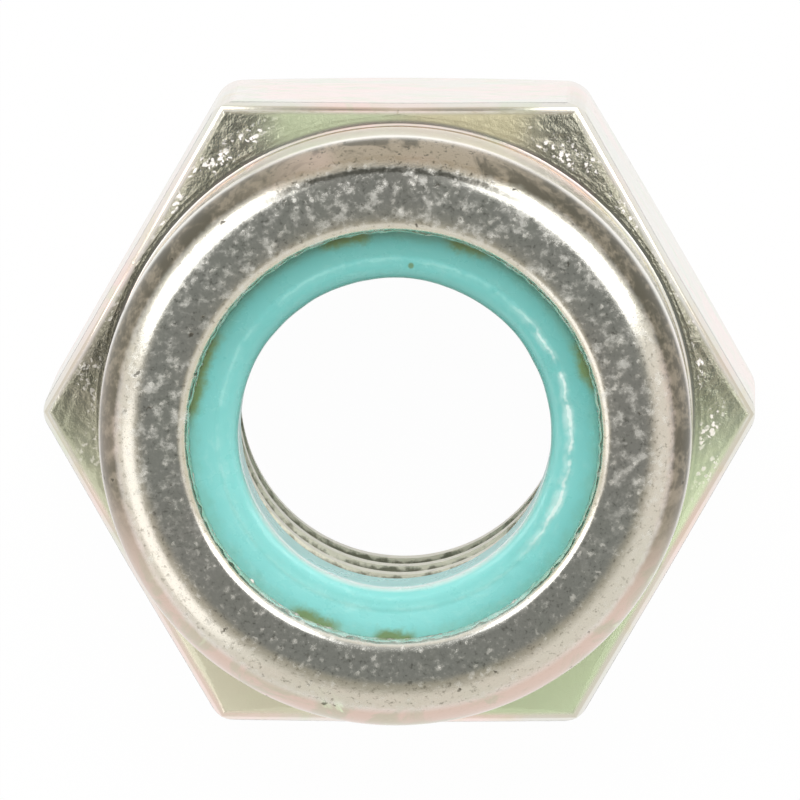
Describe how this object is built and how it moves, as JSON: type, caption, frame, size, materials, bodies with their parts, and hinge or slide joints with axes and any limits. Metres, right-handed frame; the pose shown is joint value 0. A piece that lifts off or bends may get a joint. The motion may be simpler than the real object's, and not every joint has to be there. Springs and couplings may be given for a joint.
{
  "type": "nylon-insert lock nut",
  "caption": "Zinc-plated steel hexagonal lock nut with a round collar crimped over a turquoise nylon locking ring.",
  "frame": {"origin": "centre of the bearing face, on the thread's axis", "axes": "+Z along the thread's axis towards the crimped crown; two of the six flats face +Y and -Y"},
  "size_m": [0.0148, 0.013, 0.0094],
  "materials": {
    "plated_steel": "satin, zinc plated and passivated",
    "nylon": "smooth, slightly translucent"
  },
  "bodies": {
    "root": {"nut_body": "plated_steel", "locking_ring": "nylon"}
  },
  "joints": []
}
